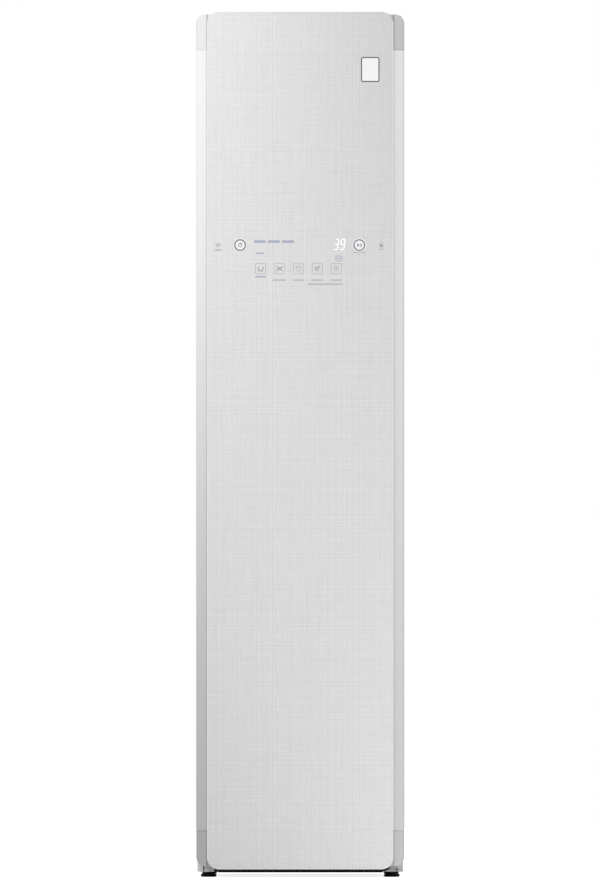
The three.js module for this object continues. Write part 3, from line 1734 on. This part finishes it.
const clampZ = [plinthZ[1] - clamp.headRoom - clamp.height, plinthZ[1] - clamp.headRoom];
const pressZ = [plinthZ[0] + press.footRoom, clampZ[0] - press.headRoom];
const pressPlateY = [plinthFace + seat, plinthFace + seat + press.plate];
const pressPanelY = [pressPlateY[1] + press.gap, pressPlateY[1] + press.gap + press.panel];
const pressAxis = [pressHalf, (pressPanelY[0] + pressPanelY[1]) / 2];

function pressPlate() {
  const lugHalf = press.panel / 2;
  const lugZ = inside(pressZ, -press.lug - press.lugGap);
  const lugX = span(pressHalf, press.panel);
  const catchX = [-pressHalf - press.tab, -pressHalf];
  const plate = prism(
    "y",
    rectangle([catchX[0], lugX[1] + press.side], lugZ, press.corner),
    pressPlateY,
  );
  const lugs = [
    [lugZ[0], lugZ[0] + press.lug],
    [lugZ[1] - press.lug, lugZ[1]],
  ].map((z) =>
    prism(
      "z",
      rounded([
        [lugX[0], pressPlateY[1] - press.gap],
        [lugX[1], pressPlateY[1] - press.gap],
        [lugX[1], pressPanelY[1], lugHalf - press.lugEdge],
        [lugX[0], pressPanelY[1], lugHalf - press.lugEdge],
      ]),
      z,
    ),
  );
  const bores = [
    [lugZ[0] - overrun, pressZ[0]],
    [pressZ[1], lugZ[1] + overrun],
  ].map((z) => rod("z", pressAxis, press.pin + seat, z));
  const magnet = block(
    inside(catchX, press.side),
    [pressPlateY[1] - seat, pressPlateY[1] + press.catchDepth],
    span((pressZ[0] + pressZ[1]) / 2, press.catchHeight),
  );
  return cut(join(plate, ...lugs, magnet), ...bores);
}

const pressGroup = new THREE.Group();
pressGroup.position.set(...pressAxis, 0);
door.add(pressGroup);

function pressPanel() {
  const thickness = press.panel / 2;
  const far = -2 * pressHalf;
  const section = rounded([
    [far, -thickness, press.panelEdge],
    [thickness, -thickness, thickness - press.lugEdge / 2],
    [thickness, thickness, thickness - press.lugEdge / 2],
    [far, thickness, press.panelEdge],
  ]);
  const body = prism("z", section, pressZ);
  const slotsX = [far + press.slotMargin / 2, -press.slotMargin / 2];
  const slots = slotRow(press.columns, slotsX, slotShares.press, [0, press.slotHeight]).flatMap((outline) =>
    evenly(press.rows, ...inside(pressZ, press.slotMargin)).map((z) =>
      prism(
        "y",
        outline.map(([x, up]) => [x, z + up - press.slotHeight / 2]),
        [-thickness - overrun, thickness + overrun],
      ),
    ),
  );
  const pins = [
    [pressZ[0] - press.lugGap - press.pinLength, pressZ[0] + press.pinLength],
    [pressZ[1] - press.pinLength, pressZ[1] + press.lugGap + press.pinLength],
  ].map((z) => rod("z", [0, 0], press.pin, z));
  return join(cut(body, ...slots), ...pins);
}

add(pressGroup, "press_panel", pressPanel(), materials.capGrey);

const clampHalf = pressHalf - clamp.sideRoom;
const clampPlateY = [plinthFace + seat, plinthFace + seat + clamp.plate];
const clampAxis = [clampPlateY[1] + clamp.lugReach - clamp.lip, clampZ[1] - clamp.tab];

function clampBracket() {
  const [y, z] = clampAxis;
  const plate = prism("y", rectangle(mirrored(clampHalf), clampZ, clamp.corner), clampPlateY);
  const neck = block(mirrored(clamp.tabHalf), clampPlateY, [pressZ[1], clampZ[0] + clamp.corner]);
  const lugs = mirrored(clampHalf - clamp.lip - clamp.lug / 2).map((x) =>
    prism(
      "x",
      rounded([
        [clampPlateY[1] - seat, z - clamp.tab],
        [y + clamp.lip, z - clamp.lip, clamp.lip],
        [y + clamp.lip, z + clamp.lip, clamp.lip],
        [clampPlateY[1] - seat, z + clamp.tab - clamp.lip],
      ]),
      span(x, clamp.lug),
    ),
  );
  const bore = rod("x", clampAxis, clamp.pin + seat, mirrored(clampHalf + overrun));
  return cut(join(plate, neck, ...lugs), bore);
}

add(door, "press_plate", join(pressPlate(), clampBracket()), materials.liner);

const clampGroup = new THREE.Group();
clampGroup.position.set(0, ...clampAxis);
door.add(clampGroup);

function clampJaw() {
  const jawX = mirrored(clampHalf - clamp.lip - clamp.lug - 2 * seat);
  const reach = clampAxis[0] - clampPlateY[1] - seat;
  const thickness = mirrored(clamp.jaw / 2);
  const profile = rounded([
    [thickness[0], clamp.lip],
    [thickness[0], -clamp.jawDrop + 2 * clamp.lip],
    [-reach, -clamp.jawDrop + clamp.lip, clamp.jawEdge],
    [-reach, -clamp.jawDrop, clamp.jawEdge],
    [thickness[1], -clamp.jawDrop, clamp.jawEdge],
    [thickness[1], clamp.lip],
  ]);
  const jaw = prism("x", profile, jawX);
  const tab = block(mirrored(clamp.tabHalf), thickness, [0, clamp.tab - seat]);
  const barrel = rod("x", [0, 0], clamp.jaw, jawX);
  const pins = rod("x", [0, 0], clamp.pin, mirrored(clampHalf - clamp.lip - seat));
  return join(jaw, tab, barrel, pins);
}

add(clampGroup, "clamp_jaw", clampJaw(), materials.innerGrey);

export default product;
